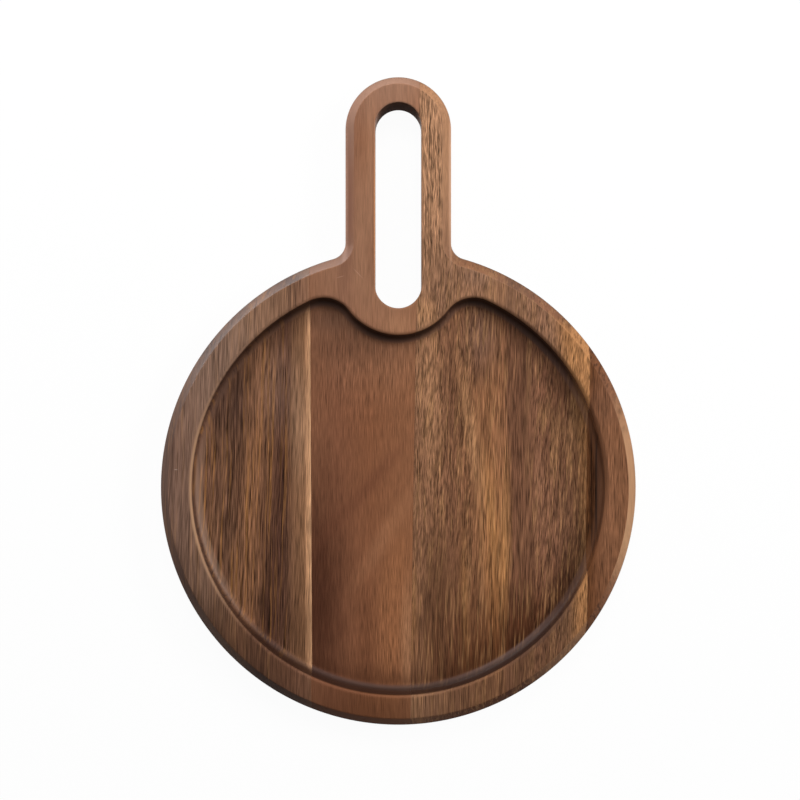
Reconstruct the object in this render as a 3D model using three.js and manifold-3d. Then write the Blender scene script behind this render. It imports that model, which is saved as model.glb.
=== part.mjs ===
// Round snack tray of edge-glued hardwood with a slotted handle.
// Staves of different colour are glued edge to edge into one blank. The blank is sawn to a disc with a long
// handle, a finger slot is routed through the handle and a shallow recess into the disc. The outer edges are
// bevelled and all corners are eased.
// Millimetres. The tray lies flat, +Z up. The origin is on the underside, below the middle of the disc, and +Y
// points along the handle.

import * as THREE from "three";
import Module from "manifold-3d";

// Disc and handle
const DISC_RADIUS = 125;
const THICKNESS = 16;
const HANDLE_REACH = 91; // from the edge of the disc to the tip of the handle
const HANDLE_WIDTH = 55.6;
const NECK_RADIUS = 8.7; // hollow corner where the handle runs into the disc
const EDGE_BEVEL = 4.7; // width and height of the bevel on the outer edges, on top and underneath
const BEVEL_EASE = 1; // rounding of the bevel's own two corners

// Finger slot through the handle
const SLOT_WIDTH = 24.4;
const SLOT_END_WALL = 14.6; // wood left between the slot and the tip of the handle
const SLOT_INTO_DISC = 31; // how far the slot runs past the edge of the disc
const SLOT_EDGE_RADIUS = 0.8;

// Tray recess, with a lobe of full thickness left standing round the inner end of the slot
const RIM_WIDTH = 17;
const RECESS_DEPTH = 7;
const RECESS_CORNER_RADIUS = 16.7; // where the rim swings into the lobe
const LOBE_RADIUS = 32.6;
const LOBE_WALL = 14.4; // wood left between the slot and the nose of the lobe
const COVE_RADIUS = 5; // hollow rounding between the wall and the floor
const LIP_RADIUS = 2; // rounding of the wall's upper edge

// Glue joints: where each crosses the disc's cross line, and how it leans off the handle's direction
const LEFT_JOINT_OFFSET = 46;
const CENTRE_JOINT_OFFSET = 8.1;
const RIGHT_STAVE_WIDTH = 25.6;
const LEFT_JOINT_LEAN = THREE.MathUtils.degToRad(-0.3);
const CENTRE_JOINT_LEAN = THREE.MathUtils.degToRad(0.86);
const RIGHT_JOINT_LEAN = THREE.MathUtils.degToRad(0.69);
const GLUE_THICKNESS = 0.12;
const GLUE_CLEARANCE = 0.05; // between a glue film and the stave on each side of it

// Fineness and making
const CHORD_ERROR = 0.05; // how far a facet may stray from its arc
const OVERCUT = 2; // how far a cutting shape stands out of the wood
const LEAST_UPRIGHT = 0.2; // least upright wall between two roundings

// Places that follow from the sizes above
const HANDLE_HALF = HANDLE_WIDTH / 2;
const SLOT_HALF = SLOT_WIDTH / 2;
const TIP_Y = DISC_RADIUS + HANDLE_REACH;
const HANDLE_END_Y = TIP_Y - HANDLE_HALF;
const SLOT_OUTER_Y = TIP_Y - SLOT_END_WALL - SLOT_HALF;
const SLOT_INNER_Y = DISC_RADIUS - SLOT_INTO_DISC + SLOT_HALF;
const RECESS_RADIUS = DISC_RADIUS - RIM_WIDTH;
const LOBE_Y = DISC_RADIUS - SLOT_INTO_DISC - LOBE_WALL + LOBE_RADIUS;
const FLOOR_Z = THICKNESS - RECESS_DEPTH;
const RIGHT_JOINT_X = DISC_RADIUS - RIGHT_STAVE_WIDTH;

const wasm = await Module();
wasm.setup();

// Points on an arc. The radius before the offset sets their number, so an outline has as many at every offset.
function arc(x, y, radius, offset, start, end) {
  const facetAngle = 2 * Math.acos(1 - CHORD_ERROR / radius);
  const steps = Math.ceil(Math.abs(end - start) / facetAngle);
  const size = radius + offset;
  return new THREE.EllipseCurve(x, y, size, size, start, end, end < start).getPoints(steps);
}

// Joins arcs into one closed outline, leaving out the doubled point where two of them meet.
function closedOutline(arcs) {
  const points = arcs.flat();
  return points.filter((point, i) => point.distanceTo(points.at(i - 1)) > 1e-4);
}

// Outline of the whole board, grown outwards by an offset: disc, hollow neck corners, straight handle, round end.
function boardOutline(offset) {
  const neckX = HANDLE_HALF + NECK_RADIUS;
  const neckY = Math.sqrt((DISC_RADIUS + NECK_RADIUS) ** 2 - neckX ** 2);
  const neckAngle = Math.atan2(neckY, neckX);
  return closedOutline([
    arc(0, 0, DISC_RADIUS, offset, Math.PI - neckAngle, 2 * Math.PI + neckAngle),
    arc(neckX, neckY, NECK_RADIUS, -offset, Math.PI + neckAngle, Math.PI),
    arc(0, HANDLE_END_Y, HANDLE_HALF, offset, 0, Math.PI),
    arc(-neckX, neckY, NECK_RADIUS, -offset, 0, -neckAngle),
  ]);
}

// Outline of the finger slot, grown by an offset.
function slotOutline(offset) {
  return closedOutline([
    arc(0, SLOT_OUTER_Y, SLOT_HALF, offset, 0, Math.PI),
    arc(0, SLOT_INNER_Y, SLOT_HALF, offset, Math.PI, 2 * Math.PI),
  ]);
}

// Outline of the recess, grown by an offset: a circle whose upper side swings in an S-curve round the lobe.
function recessOutline(offset) {
  const cornerReach = RECESS_RADIUS - RECESS_CORNER_RADIUS;
  const cornerToLobe = RECESS_CORNER_RADIUS + LOBE_RADIUS;
  const cornerY = (cornerReach ** 2 - cornerToLobe ** 2 + LOBE_Y ** 2) / (2 * LOBE_Y);
  const cornerX = Math.sqrt(cornerReach ** 2 - cornerY ** 2);
  const rimAngle = Math.atan2(cornerY, cornerX);
  const lobeAngle = Math.atan2(LOBE_Y - cornerY, cornerX);
  return closedOutline([
    arc(0, 0, RECESS_RADIUS, offset, Math.PI - rimAngle, 2 * Math.PI + rimAngle),
    arc(cornerX, cornerY, RECESS_CORNER_RADIUS, offset, rimAngle, Math.PI - lobeAngle),
    arc(0, LOBE_Y, LOBE_RADIUS, -offset, -lobeAngle, lobeAngle - Math.PI),
    arc(-cornerX, cornerY, RECESS_CORNER_RADIUS, offset, lobeAngle, Math.PI - rimAngle),
  ]);
}

// Closed solid through copies of an outline, one for each point of an edge profile from its lowest to its highest.
// A profile point's x is the copy's offset, and its y the copy's height.
function loft(outline, profile) {
  const rings = profile.map((point) => outline(point.x));
  const count = rings[0].length;
  const vertices = rings.flatMap((ring, i) => ring.flatMap(({ x, y }) => [x, y, profile[i].y]));
  const faces = [];
  for (let ring = 0; ring + 1 < rings.length; ring += 1) {
    for (let i = 0; i < count; i += 1) {
      const low = ring * count + i;
      const lowNext = ring * count + ((i + 1) % count);
      faces.push([low, lowNext, lowNext + count], [low, lowNext + count, low + count]);
    }
  }
  const top = (rings.length - 1) * count;
  const underCap = THREE.ShapeUtils.triangulateShape(rings.at(0), []);
  const topCap = THREE.ShapeUtils.triangulateShape(rings.at(-1), []);
  underCap.forEach(([a, b, c]) => faces.push([c, b, a]));
  topCap.forEach(([a, b, c]) => faces.push([top + a, top + b, top + c]));
  return new wasm.Manifold(new wasm.Mesh({
    numProp: 3,
    vertProperties: new Float32Array(vertices),
    triVerts: new Uint32Array(faces.flat()),
  }));
}

// Turns an edge profile upside down, about the middle of the board's thickness.
function underneath(profile) {
  return profile.map(({ x, y }) => new THREE.Vector2(x, THICKNESS - y)).reverse();
}

// The sawn blank with its outer edge bevelled on both sides. The easing starts a setback away from each corner.
function plate() {
  const setback = BEVEL_EASE * Math.tan(Math.PI / 8);
  const bevel = Math.min(EDGE_BEVEL, (THICKNESS - LEAST_UPRIGHT) / 2 - setback);
  const upper = [
    ...arc(-BEVEL_EASE, THICKNESS - bevel - setback, BEVEL_EASE, 0, 0, Math.PI / 4),
    ...arc(-bevel - setback, THICKNESS - BEVEL_EASE, BEVEL_EASE, 0, Math.PI / 4, Math.PI / 2),
  ];
  return loft(boardOutline, [...underneath(upper), ...upper]);
}

// Profile of a cut's mouth, flared so that the wood round it comes out with a rounded edge.
function flaredMouth(radius) {
  return [
    ...arc(radius, THICKNESS - radius, radius, 0, Math.PI, Math.PI / 2),
    new THREE.Vector2(radius, THICKNESS + OVERCUT),
  ];
}

// The wood that the slot takes away.
function slotCut() {
  const mouth = flaredMouth(SLOT_EDGE_RADIUS);
  return loft(slotOutline, [...underneath(mouth), ...mouth]);
}

// The wood that the recess takes away: flat floor, cove, upright wall and a rounded lip.
function recessCut() {
  const coveRadius = Math.min(COVE_RADIUS, RECESS_DEPTH - LIP_RADIUS - LEAST_UPRIGHT);
  const cove = arc(-coveRadius, FLOOR_Z + coveRadius, coveRadius, 0, -Math.PI / 2, 0);
  return loft(recessOutline, [...cove, ...flaredMouth(LIP_RADIUS)]);
}

// A straight line across the plan that leans off +Y, moved sideways by a distance.
function jointLine(joint, sideways) {
  return (y) => joint.x + sideways + y * Math.tan(joint.lean);
}

// Upright block between two such lines, from one y to another, that a stave or a glue film is cut out with.
function strip(leftLine, rightLine, lowY, highY) {
  const corners = [
    new THREE.Vector2(leftLine(lowY), lowY),
    new THREE.Vector2(rightLine(lowY), lowY),
    new THREE.Vector2(rightLine(highY), highY),
    new THREE.Vector2(leftLine(highY), highY),
  ];
  return loft(() => corners, [new THREE.Vector2(0, -OVERCUT), new THREE.Vector2(0, THICKNESS + OVERCUT)]);
}

// A piece of the finished board as a named mesh.
function piece(name, solid, material) {
  const { vertProperties, triVerts } = solid.getMesh();
  const geometry = new THREE.BufferGeometry();
  geometry.setAttribute("position", new THREE.BufferAttribute(vertProperties, 3));
  geometry.setIndex(new THREE.BufferAttribute(triVerts, 1));
  geometry.computeVertexNormals();
  const mesh = new THREE.Mesh(geometry, material);
  mesh.name = name;
  return mesh;
}

function oiledWood(color) {
  return new THREE.MeshStandardMaterial({ color, roughness: 0.5, metalness: 0 });
}

function curedGlue() {
  return new THREE.MeshStandardMaterial({ color: 0x3a241a, roughness: 0.6, metalness: 0 });
}

const board = plate().subtract(slotCut()).subtract(recessCut());
const lowEnd = -DISC_RADIUS - OVERCUT;
const highEnd = TIP_Y + OVERCUT;

// One stave: the board between two joint lines, each drawn back by its half of the glue gap.
function stave(name, leftJoint, rightJoint, color) {
  const gap = GLUE_THICKNESS / 2 + GLUE_CLEARANCE;
  const block = strip(jointLine(leftJoint, gap), jointLine(rightJoint, -gap), lowEnd, highEnd);
  return piece(name, board.intersect(block), oiledWood(color));
}

// One glue film: the board along a joint line, between two places on it.
function glueFilm(name, joint, lowY, highY) {
  const half = GLUE_THICKNESS / 2;
  const block = strip(jointLine(joint, -half), jointLine(joint, half), lowY, highY);
  return piece(name, board.intersect(block), curedGlue());
}

const leftSide = { x: -DISC_RADIUS - OVERCUT, lean: 0 };
const leftJoint = { x: -LEFT_JOINT_OFFSET, lean: LEFT_JOINT_LEAN };
const centreJoint = { x: CENTRE_JOINT_OFFSET, lean: CENTRE_JOINT_LEAN };
const rightJoint = { x: RIGHT_JOINT_X, lean: RIGHT_JOINT_LEAN };
const rightSide = { x: DISC_RADIUS + OVERCUT, lean: 0 };

const tray = new THREE.Group();
tray.add(
  stave("left_stave", leftSide, leftJoint, 0x6b4a35),
  stave("red_stave", leftJoint, centreJoint, 0x7d4f3a),
  stave("figured_stave", centreJoint, rightJoint, 0x85593b),
  stave("right_stave", rightJoint, rightSide, 0x6f4a38),
  glueFilm("left_glue_line", leftJoint, lowEnd, highEnd),
  glueFilm("centre_glue_line", centreJoint, lowEnd, SLOT_INNER_Y), // the slot parts this joint in two
  glueFilm("handle_glue_line", centreJoint, SLOT_OUTER_Y, highEnd),
  glueFilm("right_glue_line", rightJoint, lowEnd, highEnd),
);

export default tray;
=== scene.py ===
# Round snack tray of edge-glued hardwood with a slotted handle, seen from straight above on a white table.
# Metres. +Y points along the handle, +Z up, and the origin is on the underside below the middle of the disc.

import math

import bmesh
import bpy
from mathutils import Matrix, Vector


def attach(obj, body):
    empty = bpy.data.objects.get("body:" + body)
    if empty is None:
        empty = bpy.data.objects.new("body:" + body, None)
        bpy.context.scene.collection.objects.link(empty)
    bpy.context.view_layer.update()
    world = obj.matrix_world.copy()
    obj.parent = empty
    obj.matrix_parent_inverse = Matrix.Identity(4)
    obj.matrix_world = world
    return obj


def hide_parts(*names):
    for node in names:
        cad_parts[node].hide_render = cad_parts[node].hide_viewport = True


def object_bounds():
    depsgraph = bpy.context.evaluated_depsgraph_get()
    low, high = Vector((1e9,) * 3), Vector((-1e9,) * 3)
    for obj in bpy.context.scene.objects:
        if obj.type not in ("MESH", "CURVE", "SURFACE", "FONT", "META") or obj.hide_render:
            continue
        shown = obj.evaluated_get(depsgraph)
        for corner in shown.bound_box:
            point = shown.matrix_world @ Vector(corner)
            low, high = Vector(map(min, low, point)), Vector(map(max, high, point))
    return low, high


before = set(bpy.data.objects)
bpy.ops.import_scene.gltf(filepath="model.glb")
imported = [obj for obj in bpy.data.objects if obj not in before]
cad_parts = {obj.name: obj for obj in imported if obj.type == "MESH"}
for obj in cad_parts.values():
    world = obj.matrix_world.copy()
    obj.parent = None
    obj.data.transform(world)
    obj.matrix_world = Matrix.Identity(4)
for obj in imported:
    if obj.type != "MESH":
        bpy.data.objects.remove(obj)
cad_low, cad_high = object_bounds()
scene = bpy.context.scene


# Left stave: a streaky brown stave with pale sapwood along its glue joint, the left third of the disc. It is
# oiled hardwood like the others. All staves are glued into one blank, which is then sawn to outline, slotted
# and routed, so each stave is cut out of the same moulded board between its glue joints.

disc_radius = cad_high.x
thickness = cad_high.z
tip_y = cad_high.y
handle_half = 0.0278
neck_radius = 0.0087
edge_bevel = 0.0047
bevel_ease = 0.001
slot_half = 0.0122
slot_to_tip = 0.0146
slot_below_disc_edge = 0.031
slot_outer_y = tip_y - slot_to_tip - slot_half
slot_inner_y = disc_radius - slot_below_disc_edge + slot_half
slot_edge_radius = 0.0008
rim_width = 0.017
recess_depth = 0.007
recess_radius = disc_radius - rim_width
recess_floor = thickness - recess_depth
recess_corner_radius = 0.0167
lobe_radius = 0.0326
lobe_below_disc_edge = 0.0454
lobe_y = disc_radius - lobe_below_disc_edge + lobe_radius
cove_radius = 0.0048
lip_radius = 0.002
flat_margin = 0.0005
left_joint = (-0.046, math.radians(-0.3))
glue_gap = 0.00007
facet = 0.0008
same_place = 1e-6


def arc(centre_x, centre_y, radius, start, end):
    """Points on an arc in the plan, about one facet apart."""
    steps = math.ceil(abs(end - start) * radius / facet)
    angles = [start + (end - start) * step / steps for step in range(steps + 1)]
    return [(centre_x + radius * math.cos(a), centre_y + radius * math.sin(a)) for a in angles]


def board_outline():
    """Disc, hollow neck corners, straight handle and round handle end."""
    neck_x = handle_half + neck_radius
    neck_y = math.sqrt((disc_radius + neck_radius) ** 2 - neck_x**2)
    neck_angle = math.atan2(neck_y, neck_x)
    return [
        *arc(0, 0, disc_radius, math.pi - neck_angle, 2 * math.pi + neck_angle),
        *arc(neck_x, neck_y, neck_radius, math.pi + neck_angle, math.pi),
        *arc(0, tip_y - handle_half, handle_half, 0, math.pi),
        *arc(-neck_x, neck_y, neck_radius, 0, -neck_angle),
    ]


def slot_outline():
    """Straight finger slot with round ends."""
    return [
        *arc(0, slot_outer_y, slot_half, 0, math.pi),
        *arc(0, slot_inner_y, slot_half, math.pi, 2 * math.pi),
    ]


def recess_outline():
    """Circle whose upper side swings in an S-curve round the lobe that is left standing below the slot."""
    corner_reach = recess_radius - recess_corner_radius
    corner_to_lobe = recess_corner_radius + lobe_radius
    corner_y = (corner_reach**2 - corner_to_lobe**2 + lobe_y**2) / (2 * lobe_y)
    corner_x = math.sqrt(corner_reach**2 - corner_y**2)
    rim_angle = math.atan2(corner_y, corner_x)
    lobe_angle = math.atan2(lobe_y - corner_y, corner_x)
    return [
        *arc(0, 0, recess_radius, math.pi - rim_angle, 2 * math.pi + rim_angle),
        *arc(corner_x, corner_y, recess_corner_radius, rim_angle, math.pi - lobe_angle),
        *arc(0, lobe_y, lobe_radius, -lobe_angle, lobe_angle - math.pi),
        *arc(-corner_x, corner_y, recess_corner_radius, lobe_angle, math.pi - rim_angle),
    ]


def add_node(tree, kind, inputs=None, **options):
    """A node with its options set and its inputs filled, each with a value or with another node's output."""
    node = tree.nodes.new(kind)
    for option, value in options.items():
        setattr(node, option, value)
    for socket, value in (inputs or {}).items():
        if isinstance(value, bpy.types.NodeSocket):
            tree.links.new(value, node.inputs[socket])
        else:
            node.inputs[socket].default_value = value
    return node


def add_sockets(tree, direction, kind, *names):
    """Named inputs or outputs of one kind for a tree."""
    for name in names:
        tree.interface.new_socket(name, in_out=direction, socket_type=kind)


def moulded_wall_tree():
    """Sweeps the profile of a wall along an outline. The wall stands between a foot and a head, each turned
    flat by a reach to either side. Corners are rounded, or bevelled and eased where they have one facet."""
    tree = bpy.data.node_groups.new("moulded_wall", "GeometryNodeTree")
    add_sockets(tree, "INPUT", "NodeSocketGeometry", "Outline")
    add_sockets(tree, "INPUT", "NodeSocketFloat", "Foot Height", "Head Height", "Foot Reach", "Head Reach")
    add_sockets(tree, "INPUT", "NodeSocketFloat", "Foot Radius", "Head Radius", "Ease Radius")
    add_sockets(tree, "INPUT", "NodeSocketInt", "Facets", "Ease Facets")
    add_sockets(tree, "INPUT", "NodeSocketMaterial", "Wood")
    add_sockets(tree, "OUTPUT", "NodeSocketGeometry", "Wall")
    given = tree.nodes.new("NodeGroupInput").outputs

    def corner(reach, height):
        return add_node(tree, "ShaderNodeCombineXYZ", {"X": reach, "Y": height}).outputs[0]

    def add_step(kind, inputs, **options):
        return add_node(tree, kind, inputs, **options).outputs[0]

    def round_corners(curve, facets, radius):
        corners = {"Curve": curve, "Count": facets, "Radius": radius, "Limit Radius": True}
        return add_step("GeometryNodeFilletCurve", corners, mode="POLY")

    square_corners = {
        "Point 1": corner(given["Foot Reach"], given["Foot Height"]),
        "Point 2": corner(0.0, given["Foot Height"]),
        "Point 3": corner(0.0, given["Head Height"]),
        "Point 4": corner(given["Head Reach"], given["Head Height"]),
    }
    square = add_step("GeometryNodeCurvePrimitiveQuadrilateral", square_corners, mode="POINTS")
    opened = add_step("GeometryNodeSetSplineCyclic", {"Geometry": square, "Cyclic": False})
    place = add_step("GeometryNodeInputIndex", {})
    foot_corner = 1
    order = {2: place, 3: foot_corner}
    is_head = add_step("FunctionNodeCompare", order, data_type="INT", operation="GREATER_THAN")
    radii = {"Switch": is_head, "False": given["Foot Radius"], "True": given["Head Radius"]}
    radius = add_step("GeometryNodeSwitch", radii, input_type="FLOAT")
    rounded = round_corners(opened, given["Facets"], radius)
    eased = round_corners(rounded, given["Ease Facets"], given["Ease Radius"])
    turned_over = add_step("GeometryNodeTransform", {"Geometry": eased, "Rotation": (math.pi, 0, 0)})
    upright = add_step("GeometryNodeSetCurveNormal", {"Curve": given["Outline"]}, mode="Z_UP")
    swept = add_step("GeometryNodeCurveToMesh", {"Curve": upright, "Profile Curve": turned_over})
    joined = add_step("GeometryNodeMergeByDistance", {"Geometry": swept, "Distance": same_place})
    real = add_step("GeometryNodeRealizeInstances", {"Geometry": joined})
    wooden = add_step("GeometryNodeSetMaterial", {"Geometry": real, "Material": given["Wood"]})
    add_node(tree, "NodeGroupOutput", {"Wall": wooden})
    return tree


wall_tree = moulded_wall_tree()


def moulded_wall(outline, wood, sizes):
    """One wall of the board as a mesh: the tree's sweep along a closed outline."""
    curve = bpy.data.curves.new("outline", "CURVE")
    curve.dimensions = "3D"
    spline = curve.splines.new("POLY")
    spline.points.add(len(outline) - 1)
    for point, (x, y) in zip(spline.points, outline):
        point.co = (x, y, 0, 1)
    spline.use_cyclic_u = True
    path = bpy.data.objects.new("outline", curve)
    scene.collection.objects.link(path)
    sweep = path.modifiers.new("moulded_wall", "NODES")
    sweep.node_group = wall_tree
    for item in wall_tree.interface.items_tree:
        if item.name in sizes:
            sweep[item.identifier] = sizes[item.name]
        elif item.name == "Wood":
            sweep[item.identifier] = wood
    graph = bpy.context.evaluated_depsgraph_get()
    wall = bpy.data.meshes.new_from_object(path.evaluated_get(graph), depsgraph=graph)
    bpy.data.objects.remove(path)
    bpy.data.curves.remove(curve)
    return wall


def without_doubles(outline):
    """The outline without the doubled points where its arcs meet."""
    return [p for i, p in enumerate(outline) if math.dist(p, outline[i - 1]) > same_place]


def moulded_board(wood):
    """The whole board as a closed surface: its three walls, and flat faces filled in between them."""
    edge = {
        "Foot Height": 0.0,
        "Head Height": thickness,
        "Foot Reach": -edge_bevel - 2 * flat_margin,
        "Head Reach": -edge_bevel - 2 * flat_margin,
        "Foot Radius": edge_bevel,
        "Head Radius": edge_bevel,
        "Ease Radius": bevel_ease,
        "Facets": 1,
        "Ease Facets": 4,
    }
    slot = {
        "Foot Height": 0.0,
        "Head Height": thickness,
        "Foot Reach": slot_edge_radius + flat_margin,
        "Head Reach": slot_edge_radius + flat_margin,
        "Foot Radius": slot_edge_radius,
        "Head Radius": slot_edge_radius,
        "Ease Radius": 0.0,
        "Facets": 6,
        "Ease Facets": 1,
    }
    recess = {
        "Foot Height": recess_floor,
        "Head Height": thickness,
        "Foot Reach": -cove_radius - flat_margin,
        "Head Reach": lip_radius + flat_margin,
        "Foot Radius": cove_radius,
        "Head Radius": lip_radius,
        "Ease Radius": 0.0,
        "Facets": 10,
        "Ease Facets": 1,
    }
    board = bmesh.new()
    for outline, sizes in ((board_outline(), edge), (slot_outline(), slot), (recess_outline(), recess)):
        board.from_mesh(moulded_wall(without_doubles(outline), wood, sizes))
    for height in (0.0, recess_floor, thickness):
        brink = [e for e in board.edges if e.is_boundary and abs(e.verts[0].co.z - height) < same_place]
        bmesh.ops.triangle_fill(board, edges=brink, use_beauty=True, normal=(0, 0, 1))
    bmesh.ops.recalc_face_normals(board, faces=board.faces)
    for face in board.faces:
        face.smooth = True
    return board


def saw_off(board, joint, side):
    """Cuts the board along a glue joint, drawn back by the glue gap, and keeps one side of it (-1 or 1)."""
    x, lean = joint
    across = Vector((math.cos(lean), -math.sin(lean), 0)) * side
    cut = bmesh.ops.bisect_plane(
        board,
        geom=[*board.verts, *board.edges, *board.faces],
        plane_co=(x + side * glue_gap, 0, 0),
        plane_no=across,
        clear_inner=True,
    )
    brink = [e for e in cut["geom_cut"] if isinstance(e, bmesh.types.BMEdge)]
    bmesh.ops.triangle_fill(board, edges=brink, use_beauty=True, normal=-across)
    for edge in brink:
        edge.smooth = False


def make_stave(name, wood, left_joint=None, right_joint=None):
    """The part of the board between two glue joints, or out to the edge where it has none on that side."""
    board = moulded_board(wood)
    if left_joint:
        saw_off(board, left_joint, 1)
    if right_joint:
        saw_off(board, right_joint, -1)
    mesh = bpy.data.meshes.new(name)
    board.to_mesh(mesh)
    board.free()
    mesh.materials.append(wood)
    piece = bpy.data.objects.new(name, mesh)
    scene.collection.objects.link(piece)
    return piece


def linear(colour):
    """A colour given as it looks on screen, in the linear light that a shader works in."""
    parts = [int(colour[i : i + 2], 16) / 255 for i in (1, 3, 5)]
    return (*[p / 12.92 if p <= 0.04045 else ((p + 0.055) / 1.055) ** 2.4 for p in parts], 1)


def add_math(tree, operation, *values):
    """One sum with numbers or with other nodes' outputs."""
    return add_node(tree, "ShaderNodeMath", dict(enumerate(values)), operation=operation).outputs[0]


def add_product(tree, first, *others):
    """Masks and amounts multiplied with each other."""
    for other in others:
        first = add_math(tree, "MULTIPLY", first, other)
    return first


def add_mix(tree, factor, under, over):
    """One colour laid over another by a factor. The node's inputs share names, so they go by number."""
    return add_node(tree, "ShaderNodeMix", {0: factor, 6: under, 7: over}, data_type="RGBA").outputs[2]


def add_tint(tree, under, colour, *cover):
    """A plain colour laid over another by the product of some masks and amounts."""
    return add_mix(tree, add_product(tree, *cover), under, linear(colour))


def add_fade(tree, value, start, end):
    """0 where the value is at the start, 1 where it is at the end, and smooth in between."""
    limits = {"Value": value, "From Min": start, "From Max": end}
    return add_node(tree, "ShaderNodeMapRange", limits, interpolation_type="SMOOTHSTEP").outputs[0]


def add_vector(tree, x, y, z=0.0):
    """A vector of three numbers."""
    return add_node(tree, "ShaderNodeCombineXYZ", {"X": x, "Y": y, "Z": z}).outputs[0]


def add_parts(tree, vector):
    """The three numbers of a vector."""
    return add_node(tree, "ShaderNodeSeparateXYZ", {0: vector}).outputs


def add_group(tree, group, inputs=None):
    """A shared group placed in a tree with its own values."""
    return add_node(tree, "ShaderNodeGroup", inputs, node_tree=group).outputs[0]


def new_shader_group(name, vectors=(), values=(), output="NodeSocketFloat", result="Mask"):
    """An empty group with named inputs and one output."""
    group = bpy.data.node_groups.new(name, "ShaderNodeTree")
    add_sockets(group, "INPUT", "NodeSocketVector", *vectors)
    add_sockets(group, "INPUT", "NodeSocketFloat", *values)
    add_sockets(group, "OUTPUT", output, result)
    return group


def inputs_of(group):
    """A group's inputs, as sources for the nodes in it."""
    return group.nodes.new("NodeGroupInput").outputs


def end_in_mask(group, *masks):
    """Ends a group in the product of some masks."""
    add_node(group, "NodeGroupOutput", {"Mask": add_product(group, *masks)})
    return group


def grain_space_group():
    """Where a point lies in its timber, in millimetres: across the grain, along it and through the board. The
    fibres lean and sway from side to side, and the growth rings tilt through the board's thickness."""
    sizes = ("Tilt", "Lean", "Sway", "Sway Length", "Ripple", "Ripple Length", "Seed")
    group = new_shader_group("grain_space", values=sizes, output="NodeSocketVector", result="Grain")
    given = inputs_of(group)
    place = add_node(group, "ShaderNodeTexCoord").outputs["Object"]
    enlarged = {0: place, "Scale": 1000.0}
    millimetres = add_node(group, "ShaderNodeVectorMath", enlarged, operation="SCALE").outputs[0]
    x, y, z = add_parts(group, millimetres)
    across = add_math(group, "MULTIPLY_ADD", z, given["Tilt"], x)
    across = add_math(group, "SUBTRACT", across, add_product(group, y, given["Lean"]))
    for reach, length, spread in (("Sway", "Sway Length", 0.5), ("Ripple", "Ripple Length", 1.6)):
        along = add_math(group, "DIVIDE", y, given[length])
        beside = add_product(group, add_math(group, "DIVIDE", x, given[length]), spread)
        spot = {"Vector": add_vector(group, beside, along, given["Seed"]), "Scale": 1.0, "Detail": 1.0}
        wave = add_node(group, "ShaderNodeTexNoise", spot).outputs[0]
        shift = add_product(group, add_math(group, "SUBTRACT", wave, 0.5), given[reach])
        across = add_math(group, "ADD", across, shift)
    add_node(group, "NodeGroupOutput", {"Grain": add_vector(group, across, y, z)})
    return group


def add_stretched_noise(group, grain, width, length, seed, detail):
    """Noise whose spots are as wide and as long as given and a few widths deep, placed by the seed."""
    depth_in_widths = 3.0
    spot_size = add_vector(group, width, length, add_product(group, width, depth_in_widths))
    scaled = add_node(group, "ShaderNodeVectorMath", {0: grain, 1: spot_size}, operation="DIVIDE").outputs[0]
    aside = add_vector(group, seed, seed, seed)
    moved = add_node(group, "ShaderNodeVectorMath", {0: scaled, 1: aside}, operation="ADD").outputs[0]
    return add_node(group, "ShaderNodeTexNoise", {"Vector": moved, "Scale": 1.0, "Detail": detail}).outputs[0]


def fibre_streaks_group():
    """Long fibres of uneven tone: around 0.5, lower in dark fibres and higher in light ones."""
    sizes = ("Width", "Length", "Seed")
    group = new_shader_group("fibre_streaks", vectors=("Grain",), values=sizes, result="Tone")
    given = inputs_of(group)
    grain, width, length, seed = (given[name] for name in ("Grain", "Width", "Length", "Seed"))
    tone = add_stretched_noise(group, grain, width, length, seed, detail=2.0)
    add_node(group, "NodeGroupOutput", {"Tone": tone})
    return group


def pore_flecks_group():
    """Open pores cut lengthways: thin dark spindles along the grain, crowded in some places."""
    crowd_width, crowd_length, crowd_weight, brink = 11.0, 3.5, 0.45, 0.13
    sizes = ("Width", "Length", "Sparse", "Seed")
    group = new_shader_group("pore_flecks", vectors=("Grain",), values=sizes)
    given = inputs_of(group)
    grain, width, length, seed = (given[name] for name in ("Grain", "Width", "Length", "Seed"))
    spindles = add_stretched_noise(group, grain, width, length, seed, detail=1.0)
    wide = add_product(group, width, crowd_width)
    far = add_product(group, length, crowd_length)
    crowds = add_stretched_noise(group, grain, wide, far, seed, detail=1.0)
    crowds = add_math(group, "SUBTRACT", crowds, 0.5)
    level = add_math(group, "MULTIPLY_ADD", crowds, crowd_weight, spindles)
    full = add_math(group, "ADD", given["Sparse"], brink)
    return end_in_mask(group, add_fade(group, level, start=given["Sparse"], end=full))


def coloured_patch_group():
    """A spindle of differently coloured wood with ragged edges, at a place across and along the grain."""
    sizes = ("Across", "Along", "Half Width", "Half Length", "Lean", "Ragged", "Soft", "Seed")
    group = new_shader_group("coloured_patch", vectors=("Grain",), values=sizes)
    given = inputs_of(group)
    x, y = add_parts(group, given["Grain"])[:2]
    along = add_math(group, "SUBTRACT", y, given["Along"])
    middle = add_math(group, "MULTIPLY_ADD", along, given["Lean"], given["Across"])
    out_across = add_math(group, "DIVIDE", add_math(group, "SUBTRACT", x, middle), given["Half Width"])
    out_along = add_math(group, "DIVIDE", along, given["Half Length"])
    square = add_math(group, "MULTIPLY_ADD", out_across, out_across, add_product(group, out_along, out_along))
    fibres = {"Grain": given["Grain"], "Width": 1.6, "Length": 22.0, "Seed": given["Seed"]}
    fray = add_math(group, "SUBTRACT", add_group(group, fibre_streaks, fibres), 0.5)
    out = add_math(group, "MULTIPLY_ADD", fray, given["Ragged"], add_math(group, "SQRT", square))
    inner = add_math(group, "SUBTRACT", 1.0, given["Soft"])
    return end_in_mask(group, add_fade(group, out, start=1.0, end=inner))


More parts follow.
